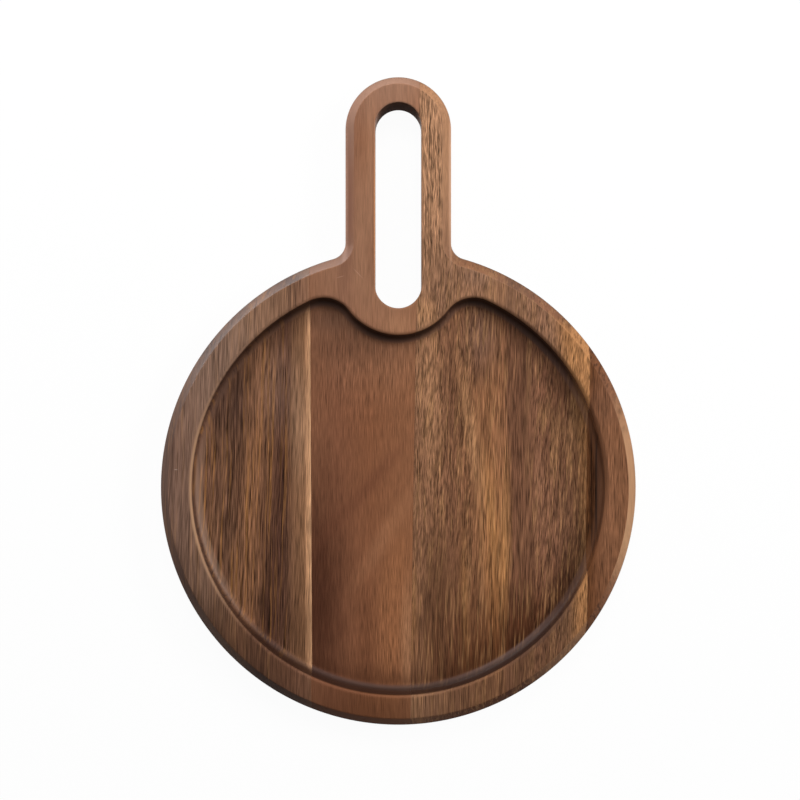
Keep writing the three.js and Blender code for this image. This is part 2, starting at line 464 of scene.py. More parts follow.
def add_place(group):
    """Where a point of the board lies: how far from the middle of the disc, seen from above, and how high."""
    place = add_node(group, "ShaderNodeTexCoord").outputs["Object"]
    x, y, height = add_parts(group, place)
    plan = add_vector(group, x, y)
    radius = add_node(group, "ShaderNodeVectorMath", {0: plan}, operation="LENGTH").outputs["Value"]
    return radius, height


def add_facing(group):
    """How far the surface faces across the fibres, along them and up."""
    return add_parts(group, add_node(group, "ShaderNodeTexCoord").outputs["Normal"])


def oiled_and_shaded_hollow_group():
    """The cove and wall of the recess, where oil gathers and dries to a shine, and where the wood is
    tinted dark grey-mauve as painted shade and sheen.
    """
    group = new_shader_group("oiled_and_shaded_hollow")
    radius, height = add_place(group)
    within = add_fade(group, radius, start=recess_radius + 0.002, end=recess_radius + 0.001)
    above = add_fade(group, height, start=recess_floor, end=recess_floor + 0.0004)
    below = add_fade(group, height, start=thickness - 0.001, end=thickness - 0.0022)
    return end_in_mask(group, within, above, below)


def end_grain_group():
    """Where an upright wall or the cove cuts across the fibres, so that the wood drinks oil and is dark."""
    group = new_shader_group("end_grain")
    along, upward = add_facing(group)[1:]
    across_fibres = add_fade(group, add_math(group, "ABSOLUTE", along), start=0.2, end=0.75)
    upright = add_fade(group, add_math(group, "ABSOLUTE", upward), start=0.85, end=0.35)
    cut = add_math(group, "MAXIMUM", upright, add_group(group, oiled_and_shaded_hollow))
    return end_in_mask(group, across_fibres, cut)


def rim_top_group():
    """The flat top of the rim, lobe and handle and the lip of the recess, which some staves tint paler and
    greyer as a painted sheen.
    """
    group = new_shader_group("rim_top")
    radius, height = add_place(group)
    flat = add_fade(group, add_facing(group)[2], start=0.7, end=0.95)
    lip = add_fade(group, radius, start=recess_radius + 0.003, end=recess_radius + 0.002)
    above = add_fade(group, height, start=thickness - 0.0025, end=thickness - 0.0008)
    return end_in_mask(group, above, add_math(group, "MAXIMUM", flat, lip))


def moulded_edge_group():
    """The cove and the bevels, which the cutter has burnished smooth."""
    group = new_shader_group("moulded_edge")
    upward = add_math(group, "ABSOLUTE", add_facing(group)[2])
    not_flat = add_fade(group, upward, start=0.998, end=0.93)
    not_upright = add_fade(group, upward, start=0.05, end=0.3)
    return end_in_mask(group, not_flat, not_upright)


def outer_bevel_group():
    """The upper bevel round the outside of the board."""
    group = new_shader_group("outer_bevel")
    radius, height = add_place(group)
    upward = add_facing(group)[2]
    not_flat = add_fade(group, upward, start=0.98, end=0.85)
    not_upright = add_fade(group, upward, start=0.3, end=0.5)
    outside = add_fade(group, radius, start=recess_radius + 0.006, end=recess_radius + 0.008)
    high = add_fade(group, height, start=recess_floor, end=recess_floor + 0.001)
    return end_in_mask(group, not_flat, not_upright, outside, high)


def lip_band_group():
    """The rounded lip of the recess, out to a width in metres beyond the recess's wall."""
    fade_width = 0.0012
    group = new_shader_group("lip_band", values=("Width",))
    radius, height = add_place(group)
    outer = add_math(group, "ADD", inputs_of(group)["Width"], recess_radius + fade_width / 2)
    within = add_fade(group, radius, start=outer, end=add_math(group, "SUBTRACT", outer, fade_width))
    above = add_fade(group, height, start=thickness - lip_radius, end=thickness - lip_radius / 2)
    return end_in_mask(group, within, above)


def outer_rim_group():
    """The rim from its middle out to the bevel."""
    group = new_shader_group("outer_rim")
    radius, height = add_place(group)
    ring = add_fade(group, radius, start=recess_radius + 0.005, end=disc_radius - 0.003)
    above = add_fade(group, height, start=recess_floor, end=recess_floor + 0.002)
    return end_in_mask(group, ring, above)


def steep_wall_group():
    """The upper half of the recess's wall, which stands steep below the lip."""
    group = new_shader_group("steep_wall")
    radius, height = add_place(group)
    within = add_fade(group, radius, start=recess_radius + 0.0015, end=recess_radius + 0.0005)
    above = add_fade(group, height, start=recess_floor + 0.0015, end=recess_floor + 0.003)
    below = add_fade(group, height, start=thickness - 0.0008, end=thickness - 0.002)
    return end_in_mask(group, within, above, below)


def low_ring_group():
    """A ring of the recess's floor or cove that starts at one radius and is full from another, in metres."""
    group = new_shader_group("low_ring", values=("Start Radius", "Full Radius"))
    given = inputs_of(group)
    radius, height = add_place(group)
    ring = add_fade(group, radius, start=given["Start Radius"], end=given["Full Radius"])
    low = add_fade(group, height, start=recess_floor + 0.003, end=recess_floor + 0.001)
    return end_in_mask(group, ring, low)


grain_space = grain_space_group()
fibre_streaks = fibre_streaks_group()
pore_flecks = pore_flecks_group()
coloured_patch = coloured_patch_group()
oiled_and_shaded_hollow = oiled_and_shaded_hollow_group()
end_grain = end_grain_group()
rim_top = rim_top_group()
moulded_edge = moulded_edge_group()
outer_bevel = outer_bevel_group()
lip_band = lip_band_group()
outer_rim = outer_rim_group()
steep_wall = steep_wall_group()
low_ring = low_ring_group()
# Rings of the recess's floor and cove: at the foot of the wall, where the staves paint shade, and up the
# cove, where one paints a highlight.
wall_foot = {"Start Radius": recess_radius - 0.016, "Full Radius": recess_radius - 0.004}
cove_foot = {"Start Radius": recess_radius - 0.0055, "Full Radius": recess_radius - 0.004}


def new_material(name):
    """A material with an empty tree."""
    material = bpy.data.materials.new(name)
    material.use_nodes = True
    material.node_tree.nodes.clear()
    return material, material.node_tree


def add_grain(tree, tilt=0.0, lean=0.0, sway=0.0, ripple=0.0, seed=0.0):
    """The way the fibres run. Sway and ripple are how far they stray sideways in long and in short waves."""
    waves = {"Sway": sway, "Sway Length": 85.0, "Ripple": ripple, "Ripple Length": 24.0}
    return add_group(tree, grain_space, {"Tilt": tilt, "Lean": lean, **waves, "Seed": seed})


def add_bands(tree, grain, *stops):
    """Ground colour in bands across the grain. Each stop is a place in millimetres and a colour."""
    start, end = stops[0][0], stops[-1][0]
    limits = {"Value": add_parts(tree, grain)[0], "From Min": start, "From Max": end}
    ramp = add_node(tree, "ShaderNodeValToRGB", {0: add_node(tree, "ShaderNodeMapRange", limits).outputs[0]})
    for i, (at, colour) in enumerate(stops):
        where = (at - start) / (end - start)
        stop = ramp.color_ramp.elements[i] if i < 2 else ramp.color_ramp.elements.new(where)
        stop.position = where
        stop.color = linear(colour)
    return ramp.outputs[0]


def streak_mask(tree, grain, width, length, start, end, seed):
    """Streaks of fibres whose tone runs from a start to an end."""
    tone = add_group(tree, fibre_streaks, {"Grain": grain, "Width": width, "Length": length, "Seed": seed})
    return add_fade(tree, tone, start, end)


def patch_mask(tree, grain, place, half_size, lean=0.0, ragged=0.5, soft=0.9, seed=0.0):
    """Where one patch of a stave lies, in millimetres across and along the grain."""
    shape = {"Lean": lean, "Ragged": ragged, "Soft": soft, "Seed": seed}
    middle = {"Across": place[0], "Along": place[1]}
    reach = {"Half Width": half_size[0], "Half Length": half_size[1]}
    return add_group(tree, coloured_patch, {"Grain": grain, **middle, **reach, **shape})


def add_patch(tree, grain, under, colour, amount, place, half_size, on=1.0, **shape):
    """A patch of another colour at one place in the stave, or as much of it as lies on a mask."""
    return add_tint(tree, under, colour, patch_mask(tree, grain, place, half_size, **shape), on, amount)


def add_veins(tree, grain, under, *veins):
    """Patches that follow the grain, one over the other."""
    for colour, amount, place, half_size, lean, ragged, seed in veins:
        shape = {"lean": lean, "ragged": ragged, "seed": seed}
        under = add_patch(tree, grain, under, colour, amount, place, half_size, **shape)
    return under


def add_tints(tree, grain, under, *tints, on=1.0):
    """Soft patches of another colour, one over the other, on the whole stave or on a mask: the wood's own
    tones, and in places painted light and shadow.
    """
    for colour, amount, place, half_size in tints:
        under = add_patch(tree, grain, under, colour, amount, place, half_size, on=on, ragged=0.2)
    return under


def add_moulding_tints(tree, grain, under, *spots):
    """Stretches of mouldings tinted another colour, one over the other: mostly painted shade, shadow,
    highlights and sheen.
    """
    for colour, amount, moulding, place, half_size, soft in spots:
        shape = {"ragged": 0.0, "soft": soft}
        under = add_patch(tree, grain, under, colour, amount, place, half_size, on=moulding, **shape)
    return under


def less_on(tree, mask, amount, share):
    """An amount that is smaller by a share where the mask is, or larger where the share is below 0."""
    return add_product(tree, add_math(tree, "MULTIPLY_ADD", mask, -share, 1.0), amount)


def fibre_tone(tree, grain, width, length, seed):
    """The fibres' uneven tone at three widths together: below 0 in dark fibres and above 0 in light ones."""
    tone = 0.0
    for times, share in ((1.0, 0.7), (1.8, 0.22), (5.0, 0.16)):
        fibres = {"Grain": grain, "Width": width * times, "Length": length * times, "Seed": seed + times}
        streak = add_math(tree, "SUBTRACT", add_group(tree, fibre_streaks, fibres), 0.5)
        tone = add_math(tree, "MULTIPLY_ADD", streak, share, tone)
    return tone


def add_fibres(tree, ground, tone, depth):
    """The ground colour, darker and lighter by the fibres' tone times a depth, less so on burnished edges."""
    depth = less_on(tree, add_group(tree, moulded_edge), depth, share=0.75)
    gain = add_math(tree, "MULTIPLY_ADD", tone, depth, 1.0)
    grey = add_vector(tree, gain, gain, gain)
    return add_node(tree, "ShaderNodeVectorMath", {0: ground, 1: grey}, operation="MULTIPLY").outputs[0]


def pore_mask(tree, grain, width, length, sparse, seed):
    """Where the wood's open pores are. They are fewer the higher sparse is."""
    sizes = {"Width": width, "Length": length, "Sparse": sparse}
    return add_group(tree, pore_flecks, {"Grain": grain, **sizes, "Seed": seed})


def add_pores(tree, under, pores, colour, amount):
    """The colour of the pores, fainter on burnished edges."""
    amount = less_on(tree, add_group(tree, moulded_edge), amount, share=0.8)
    return add_tint(tree, under, colour, pores, amount)


def finish_wood(tree, colour, tone, pores, hollow_shade_and_sheen=0.45, bevel_shine=0.0):
    """Oiled satin surface, darker and duller where it cuts across the fibres, shiny where oil has gathered,
    with the pores sunk into it. The recess's cove and wall are tinted dark grey-mauve as painted shade and
    sheen."""
    end_tint = 0.88
    flat_roughness, end_roughness, fibre_roughness = 0.4, 0.35, 0.25
    hollow_shine = 0.14
    fibre_relief, pore_relief = 0.8, -1.0
    end = add_group(tree, end_grain)
    hollow = add_group(tree, oiled_and_shaded_hollow)
    # Painted shade and sheen: the recess's cove and wall tinted dark grey-mauve.
    hollow_shaded = add_tint(tree, colour, "#4a3632", hollow, hollow_shade_and_sheen)
    hollow_shaded = add_tint(tree, hollow_shaded, "#25140c", end, end_tint)
    roughness = add_math(tree, "MULTIPLY_ADD", end, end_roughness, flat_roughness)
    relief = add_math(tree, "MULTIPLY_ADD", pores, pore_relief, add_product(tree, tone, fibre_relief))
    bump = add_node(tree, "ShaderNodeBump", {"Strength": 0.15, "Distance": 0.0001, "Height": relief})
    satin = {
        "Base Color": hollow_shaded,
        "Roughness": add_math(tree, "MULTIPLY_ADD", tone, fibre_roughness, roughness),
        "Specular IOR Level": 0.03,
        "Coat Weight": add_math(tree, "MULTIPLY_ADD", hollow, hollow_shine, bevel_shine),
        "Coat Roughness": 0.38,
        "Normal": bump.outputs[0],
    }
    surface = add_node(tree, "ShaderNodeBsdfPrincipled", satin)
    add_node(tree, "ShaderNodeOutputMaterial", {"Surface": surface.outputs[0]})


streaked_wood, tree = new_material("streaked_wood")
straight = add_grain(tree, tilt=0.3, lean=0.06, sway=2.0, ripple=0.5, seed=1.0)
wavy = add_grain(tree, tilt=0.3, lean=0.03, sway=3.0, ripple=0.6, seed=3.0)
slanted = add_grain(tree, tilt=-1.0, sway=1.2, ripple=0.3, seed=6.0)
unswayed = add_grain(tree)
rim = add_group(tree, rim_top)
bevel = add_group(tree, outer_bevel)
golden_streaks = streak_mask(tree, wavy, width=1.2, length=60.0, start=0.52, end=0.72, seed=8.0)
dark_streaks = streak_mask(tree, wavy, width=1.2, length=50.0, start=0.47, end=0.3, seed=9.0)
colour = add_bands(
    tree,
    straight,
    (-125, "#6c4c3c"),
    (-84, "#6e4d3a"),
    (-74, "#875d42"),
    (-67, "#6f4c38"),
    (-60, "#57392d"),
    (-54, "#5d3f30"),
    (-46, "#664735"),
)
colour = add_patch(tree, wavy, colour, "#3f281f", 0.6, (-64, -65), (7, 75), lean=0.1, seed=4.0)
colour = add_tint(tree, colour, "#a8733f", golden_streaks, 0.55)
colour = add_tint(tree, colour, "#2f1c15", dark_streaks, 0.7)
sapwood = add_bands(tree, slanted, (-67, "#6e4d39"), (-58.5, "#8a6347"), (-57.5, "#b28360"), (-55, "#c59670"))
pale = add_fade(tree, add_parts(tree, slanted)[0], start=-69.0, end=-64.0)
colour = add_mix(tree, pale, colour, sapwood)
colour = add_tints(
    tree,
    unswayed,
    colour,
    ("#3b2a26", 0.5, (-89, 47), (20, 31)),
    ("#3a241b", 0.25, (-72, -72), (20, 20)),
    # Painted light: a cool pale patch on the upper floor.
    ("#8d6f60", 0.25, (-65, 54), (16, 40)),
    ("#8d6448", 0.3, (-97, -20), (5, 20)),
    ("#4a2e1e", 0.45, (-52, -85), (10, 70)),
    ("#c9a283", 0.16, (-52, 36), (8, 50)),
)
# The rim's colour: greyer and paler, most at the upper left, as a painted sheen, and darker at the lower left
# as painted shade.
rim_colour = add_bands(tree, straight, (-125, "#745a4f"), (-80, "#7d604d"), (-60, "#85634d"), (-46, "#8b634d"))
rim_colour = add_patch(tree, straight, rim_colour, "#927564", 0.5, (-95, 65), (36, 55), seed=10.0)
rim_colour = add_patch(tree, straight, rim_colour, "#452a1d", 0.78, (-75, -100), (65, 65), soft=0.7, seed=7.0)
rim_colour = add_patch(tree, straight, rim_colour, "#4a352c", 0.25, (-110, -40), (14, 18), seed=11.0)
rim_colour = add_tint(tree, rim_colour, "#a27a5a", golden_streaks, 0.25)
rim_colour = add_tint(tree, rim_colour, "#33201a", dark_streaks, 0.4)
colour = add_mix(tree, add_product(tree, rim, 0.8), colour, rim_colour)
tone = fibre_tone(tree, wavy, width=0.3, length=13.0, seed=2.0)
depth = less_on(tree, pale, less_on(tree, rim, 5.6, share=0.4), share=0.25)
colour = add_fibres(tree, colour, tone, depth)
pores = pore_mask(tree, wavy, width=0.36, length=11.0, sparse=0.58, seed=5.0)
amount = less_on(tree, pale, less_on(tree, rim, 0.6, share=0.65), share=0.5)
colour = add_pores(tree, colour, pores, "#20120b", amount)
colour = add_patch(tree, unswayed, colour, "#b9a193", 0.6, (-116.1, 9.7), (1.3, 0.35), ragged=0.0)
colour = add_moulding_tints(
    tree,
    unswayed,
    colour,
    # Painted highlight: the lip on the left tinted pale, where light from the right catches it.
    ("#b8916f", 0.64, add_group(tree, lip_band, {"Width": 0.0012}), (-98, -2), (65, 80), 0.9),
    # Painted shade: the rim darker towards the lower left.
    ("#33231c", 0.42, add_group(tree, outer_rim), (-85, -75), (75, 75), 0.8),
    # Painted shadow: the floor darker at the foot of the wall at the upper left.
    ("#3a241a", 0.5, add_group(tree, low_ring, wall_foot), (-65, 90), (60, 62), 0.8),
    # Painted highlight: a pale band up the cove on the left.
    ("#c8aa92", 0.15, add_group(tree, low_ring, cove_foot), (-105, -20), (40, 62), 0.8),
    # Painted shade: the steep wall below the lip darker on the left.
    ("#33251f", 0.5, add_group(tree, steep_wall), (-102, -30), (50, 85), 0.8),
)
# Painted shade and sheen: the bevel tinted dark grey all round.
colour = add_tint(tree, colour, "#40302b", bevel, 0.5)
# Painted sheen: the bevel greyer and paler at the lower left.
colour = add_moulding_tints(tree, unswayed, colour, ("#7a6254", 0.3, bevel, (-94, -74), (34, 34), 0.9))
upper = add_fade(tree, add_parts(tree, unswayed)[1], start=-60.0, end=80.0)
lower_shine = 0.01
added_shine = 0.44
shine = add_product(tree, bevel, add_math(tree, "MULTIPLY_ADD", upper, added_shine, lower_shine))
finish_wood(tree, colour, tone, pores, hollow_shade_and_sheen=0.1, bevel_shine=shine)
left_stave = make_stave("streaked_stave", streaked_wood, right_joint=left_joint)
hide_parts("left_stave")
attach(left_stave, "root")


# Red stave: the plain reddish stave down the middle of the disc, which also makes the left leg and most of
# the end of the handle. The same oiled hardwood, from a calmer log with few pores, dark along one side and
# painted paler over the lobe and handle as painted light. Its edges are planed straight and glued to its
# neighbours.

centre_joint = (0.0081, math.radians(0.86))
red_wood, tree = new_material("red_wood")
straight = add_grain(tree, tilt=0.3, sway=4.0, ripple=0.8, seed=11.0)
unswayed = add_grain(tree)
rim = add_group(tree, rim_top)
bevel = add_group(tree, outer_bevel)
colour = add_bands(tree, straight, (-46, "#7d533c"), (-30, "#7a4f39"), (-12, "#7e5138"), (12, "#86593e"))
colour = add_veins(
    tree,
    straight,
    colour,
    ("#44261a", less_on(tree, rim, 0.9, share=0.8), (-42, -62), (27, 106), 0.04, 0.5, 12.0),
    ("#673f2d", 0.5, (-17, -4), (9, 42), 0.85, 0.1, 20.0),
    ("#9a6a4c", 0.5, (-3, -24), (9, 40), 0.6, 0.1, 27.0),
    ("#946140", 0.65, (1, -65), (15, 75), 0.06, 0.5, 13.0),
    # Painted light: paler over the lobe, neck and handle end.
    ("#967058", 0.6, (-10, 125), (60, 95), 0.0, 0.2, 14.0),
    ("#704c3d", 0.85, (-22.5, 152), (7.5, 85), 0.0, 0.2, 19.0),
    ("#4c2c1b", 0.6, (-15, -125), (70, 42), 0.0, 0.2, 16.0),
)
colour = add_tints(
    tree,
    unswayed,
    colour,
    # Painted shadow: darker below the lobe and in the recess's upper left corner.
    ("#3c2218", 0.35, (-18, 76), (48, 16)),
    ("#3a2a24", 0.4, (-37, 88), (14, 10)),
    ("#4f2d1c", 0.3, (-17, -80), (9, 45)),
    ("#b98a66", 0.3, (5, -82), (6, 48)),
    on=less_on(tree, rim, 1.0, share=0.9),
)
colour = add_tints(
    tree,
    unswayed,
    colour,
    ("#b08263", 0.2, (-14.5, 178), (4, 45)),
    ("#6b4632", 0.25, (-14, 118), (4, 25)),
    ("#a87a5a", 0.3, (1, 85), (16, 8)),
    ("#a88a78", 0.3, (-5, 218), (45, 45)),
)
# Painted shade: the floor darker at the foot of the recess's wall.
colour = add_tint(tree, colour, "#3a2014", add_group(tree, low_ring, wall_foot), 0.36)
upper_lively = patch_mask(tree, straight, (-15, 60), (50, 45), ragged=0.2, seed=18.0)
lower_lively = patch_mask(tree, straight, (0, -85), (28, 60), ragged=0.2, seed=28.0)
lively = add_math(tree, "MAXIMUM", upper_lively, lower_lively)
tone = fibre_tone(tree, straight, width=0.3, length=8.5, seed=12.0)
calm_depth = less_on(tree, rim, 1.9, share=0.4)
added_depth = 1.8
depth = add_math(tree, "MULTIPLY_ADD", lively, added_depth, calm_depth)
colour = add_fibres(tree, colour, tone, depth)
pores = pore_mask(tree, straight, width=0.36, length=5.0, sparse=0.62, seed=15.0)
colour = add_pores(tree, colour, pores, "#3a2016", less_on(tree, rim, 0.14, share=0.5))
scratch = "#c39a84"
colour = add_patch(tree, unswayed, colour, scratch, 0.5, (-20.9, 112), (0.3, 3.6), lean=-0.95, ragged=0.0)
colour = add_patch(tree, unswayed, colour, scratch, 0.4, (-30.2, 110.3), (0.8, 0.8), lean=3.4, ragged=0.0)
# Painted shade and highlight: a dark line beside the slot's left edge and a pale line on its rounded edge.
colour = add_patch(tree, unswayed, colour, "#5a3626", 0.3, (-13.1, 148), (0.5, 60), ragged=0.0, soft=0.6)
colour = add_patch(tree, unswayed, colour, "#c08558", 0.6, (-12.4, 148), (0.55, 60), ragged=0.0, soft=0.6)
colour = add_moulding_tints(
    tree,
    unswayed,
    colour,
    # Painted sheen: the left leg's bevel and the handle end's bevel tinted pale grey.
    ("#c09a88", 0.4, bevel, (-28.2, 150), (2.6, 75), 0.9),
    ("#8a7063", 0.35, bevel, (-8, 200), (45, 45), 0.7),
)
neck = patch_mask(tree, unswayed, (-45, 112), (40, 30), ragged=0.0, soft=0.8)
# Painted sheen: the bevel at the neck tinted grey.
colour = add_tint(tree, colour, "#5c463e", bevel, neck, 0.4)
finish_wood(tree, colour, tone, pores, bevel_shine=add_product(tree, bevel, neck, 0.32))
red_stave = make_stave("plain_red_stave", red_wood, left_joint, centre_joint)
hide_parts("red_stave")
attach(red_stave, "root")


# Figured stave: golden brown, with short dark pores that lean across the board, one golden band of long
# fibres, and sapwood that slants up through the thickness to the right joint. The same oiled hardwood, glued
# along both sides. It makes the right leg of the handle too.

right_stave_width = 0.0256
right_joint = (disc_radius - right_stave_width, math.radians(0.69))
figured_wood, tree = new_material("figured_wood")
straight = add_grain(tree, tilt=0.2, sway=2.0, ripple=0.6, seed=21.0)
wavy = add_grain(tree, tilt=0.2, lean=0.05, sway=3.5, ripple=0.9, seed=23.0)
slanted = add_grain(tree, tilt=1.5, lean=-0.05, sway=2.0, ripple=0.6, seed=24.0)
leaning = add_grain(tree, tilt=0.2, lean=-0.04, sway=3.0, ripple=0.7, seed=44.0)
unswayed = add_grain(tree)
rim = add_group(tree, rim_top)
colour = add_bands(
    tree,
    straight,
    (10, "#835c44"),
    (20, "#8a6147"),
    (30, "#77513b"),
    (40, "#865b40"),
    (50, "#906243"),
    (58, "#8f6144"),
    (60, "#714c38"),
    (70, "#744f3a"),
    (78, "#7d5540"),
    (90, "#704d39"),
    (100, "#60412c"),
)
colour = add_veins(
    tree,
    straight,
    colour,
    ("#ab7d58", 0.7, (40, 30), (6, 60), -0.16, 0.5, 50.0),
    ("#b27b4a", 0.55, (53, -40), (8, 75), -0.03, 0.6, 51.0),
    ("#ab784b", 0.55, (37, -62), (3.5, 55), -0.02, 0.5, 52.0),
    ("#a97c5a", 0.5, (18, 48), (9, 60), -0.04, 0.5, 53.0),
    ("#a2714a", 0.6, (9.5, -66), (4.5, 42), 0.0, 0.5, 54.0),
    ("#40281a", 0.35, (34, 48), (4, 45), -0.2, 0.6, 55.0),
    ("#4f3322", 0.55, (22, -55), (10, 60), 0.0, 0.5, 56.0),
    ("#42281a", 0.6, (90, -55), (13, 45), 0.1, 0.5, 57.0),
    ("#5c3a24", 0.15, (28, -62), (22, 70), 0.0, 0.4, 58.0),
    ("#684533", 0.5, (65, 15), (7, 95), 0.02, 0.5, 59.0),
    ("#5a3826", 0.4, (86, 40), (14, 60), -0.1, 0.6, 60.0),
    ("#c08a55", 0.25, (50, -8), (4, 50), -0.13, 0.5, 61.0),
    ("#b98350", 0.5, (58.3, -35), (4.5, 80), 0.016, 0.4, 62.0),
    ("#5b3c29", 0.35, (39.3, -15), (3.5, 50), 0.0, 0.5, 63.0),
    ("#b58052", 0.2, (45.3, -20), (3, 45), 0.0, 0.5, 64.0),
    ("#5e3f2d", 0.25, (14, 0), (8, 30), 0.0, 0.5, 65.0),
    ("#9a6e52", 0.3, (77, 0), (4, 35), 0.0, 0.5, 66.0),
    ("#45291a", 0.35, (21, -92), (5, 22), 0.0, 0.4, 67.0),
    ("#4a3f40", 0.45, (46, 80), (16, 34), 0.0, 0.2, 68.0),
    ("#3a231b", 0.5, (70, 64), (6, 26), 0.0, 0.3, 69.0),
    ("#4a2f22", 0.25, (85, 35), (8, 22), 0.0, 0.3, 70.0),
    ("#2f1b0f", 0.4, (73, -69), (16, 17), 0.0, 0.3, 71.0),
    ("#b48560", 0.7, (22, 176), (24, 76), 0.0, 0.3, 72.0),
)
# Painted sheen: the rim's top tinted paler.
colour = add_tint(tree, colour, "#87654e", rim, 0.55)
colour = add_tints(
    tree,
    unswayed,
    colour,
    ("#c08c60", 0.35, (14, 92), (10, 12)),
    ("#6f5a50", 0.3, (43, 111), (16, 10)),
    on=rim,
)
shaded = less_on(tree, rim, 0.88, share=0.5)
lower_side = {"ragged": 0.3, "soft": 0.8, "seed": 26.0}
colour = add_patch(tree, straight, colour, "#44210e", shaded, (74, -108), (90, 82), **lower_side)
# Painted shade: the floor darker at the foot of the recess's wall.
colour = add_tint(tree, colour, "#331d10", add_group(tree, low_ring, wall_foot), 0.4)
sapwood = add_fade(tree, add_parts(tree, slanted)[0], start=107.0, end=118.0)
colour = add_tint(tree, colour, "#a5744b", sapwood)
leg = patch_mask(tree, straight, (20, 170), (17, 75), ragged=0.2, soft=0.5, seed=38.0)
dark_band = patch_mask(tree, straight, (65, 15), (8, 95), lean=0.02, soft=0.6, seed=43.0)
calm = add_math(tree, "MAXIMUM", leg, dark_band)
lively = less_on(tree, rim, less_on(tree, calm, 1.0, share=0.8), share=0.4)
streaks = (
    ("#b3855b", 0.28, 4.0, 50.0, 0.52, 0.75, 36.0),
    ("#4a2f20", 0.42, 4.0, 50.0, 0.48, 0.25, 37.0),
    ("#b08257", 0.392, 1.0, 24.0, 0.5, 0.7, 28.0),
    ("#3a2418", 0.546, 1.0, 24.0, 0.46, 0.3, 29.0),
)
for streak_colour, amount, width, length, start, end, seed in streaks:
    streak = streak_mask(tree, wavy, width, length, start, end, seed)
    colour = add_tint(tree, colour, streak_colour, streak, lively, amount)
tone = fibre_tone(tree, wavy, width=0.28, length=5.4, seed=22.0)
pores = pore_mask(tree, wavy, width=0.32, length=5.8, sparse=0.57, seed=25.0)
short_fibred = add_fibres(tree, colour, tone, less_on(tree, rim, 4.8, share=-0.1))
short_fibred = add_pores(tree, short_fibred, pores, "#27160d", less_on(tree, rim, 0.6, share=0.15))
long_tone = fibre_tone(tree, straight, width=0.3, length=13.0, seed=32.0)
long_pores = pore_mask(tree, straight, width=0.36, length=11.0, sparse=0.57, seed=35.0)
long_fibred = add_fibres(tree, colour, long_tone, less_on(tree, rim, 4.8, share=0.2))
long_fibred = add_pores(tree, long_fibred, long_pores, "#27160d", less_on(tree, rim, 0.6, share=0.4))
leg_colour = colour
for depth, width, length, seed in ((5.5, 0.25, 12.0, 45.0), (6.0, 0.22, 5.0, 46.0)):
    leg_colour = add_fibres(tree, leg_colour, fibre_tone(tree, leaning, width, length, seed), depth)
golden_band = patch_mask(tree, straight, (58, -10), (19, 145), soft=0.4, seed=33.0)
lower_end = patch_mask(tree, straight, (25, -110), (40, 110), ragged=0.4, soft=0.8, seed=34.0)
colour = add_mix(tree, add_math(tree, "MAXIMUM", golden_band, lower_end), short_fibred, long_fibred)
colour = add_mix(tree, leg, colour, leg_colour)
leg_pores = pore_mask(tree, leaning, width=0.25, length=13.0, sparse=0.56, seed=39.0)
colour = add_pores(tree, colour, leg_pores, "#3a2416", add_product(tree, leg, 0.45))
lip = add_group(tree, lip_band, {"Width": lip_radius})
hollow = add_group(tree, oiled_and_shaded_hollow)
bevel = add_group(tree, outer_bevel)
colour = add_moulding_tints(
    tree,
    unswayed,
    colour,
    # Painted shade: the lip darker at the upper right and lower right.
    ("#38231a", 0.5, lip, (85, 75), (50, 55), 0.7),
    ("#43302a", 0.5, lip, (76, -78), (34, 30), 0.9),
    # Painted shadow in the hollow at the upper right, and a painted sheen of pale grey-mauve in the cove at
    # the lower right.
    ("#160c08", 0.55, hollow, (76, 76), (25, 30), 0.9),
    ("#8d7770", 0.4, hollow, (62, -90), (50, 42), 0.8),
    ("#54463f", 0.35, bevel, (58, 110), (30, 26), 0.8),
    # Painted light: the bevel paler at the lower right.
    ("#a07a5c", 0.35, bevel, (88, -88), (30, 32), 0.8),
)
leg_bevel = {"on": bevel, "ragged": 0.2, "soft": 0.6, "seed": 40.0}
colour = add_patch(tree, straight, colour, "#80604c", 0.35, (30, 160), (20, 70), **leg_bevel)
# Painted highlight: a pale line along the right leg's outer edge.
colour = add_patch(tree, unswayed, colour, "#d2a688", 0.45, (27.4, 160), (1.4, 62), ragged=0.0, soft=0.8)
finish_wood(tree, colour, tone, pores)
figured_stave = make_stave("flecked_stave", figured_wood, centre_joint, right_joint)
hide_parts("figured_stave")
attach(figured_stave, "root")


# Right stave: the narrow dark segment at the right edge of the disc, nearly black where the router laid it
# bare and paler towards the outer edge, where the bevel is painted paler still as painted light. The same
# oiled hardwood, glued to the figured stave along one joint.

dark_wood, tree = new_material("dark_wood")
straight = add_grain(tree, tilt=0.6, sway=3.0, ripple=0.8, seed=31.0)
unswayed = add_grain(tree)
rim = add_group(tree, rim_top)
colour = add_bands(tree, straight, (102, "#4e2d18"), (108, "#5c3820"), (113, "#704830"), (126, "#7d543b"))
streak = streak_mask(tree, straight, width=1.0, length=40.0, start=0.5, end=0.36, seed=33.0)
colour = add_tint(tree, colour, "#1c0e09", streak, less_on(tree, rim, 0.6, share=0.8))
below = less_on(tree, rim, 0.85, share=1.0)
strip = {"ragged": 0.3, "soft": 0.6, "seed": 37.0}
colour = add_patch(tree, unswayed, colour, "#3c2214", below, (106, 0), (5.0, 80), ragged=0.2, seed=39.0)
colour = add_patch(tree, unswayed, colour, "#6c4428", below, (99.6, -6), (2.1, 60), **strip)
colour = add_patch(tree, unswayed, colour, "#100805", below, (104.5, 5), (0.8, 60), ragged=0.6, seed=36.0)
colour = add_patch(tree, unswayed, colour, "#150b07", below, (102.1, 0), (0.5, 55), ragged=0.4, seed=40.0)
colour = add_patch(tree, unswayed, colour, "#5f4438", 0.3, (107, 44), (15, 20), ragged=0.1)
colour = add_patch(tree, straight, colour, "#885d43", 0.6, (118, 0), (9, 80), ragged=0.3, seed=34.0)
tone = fibre_tone(tree, straight, width=0.38, length=9.0, seed=32.0)
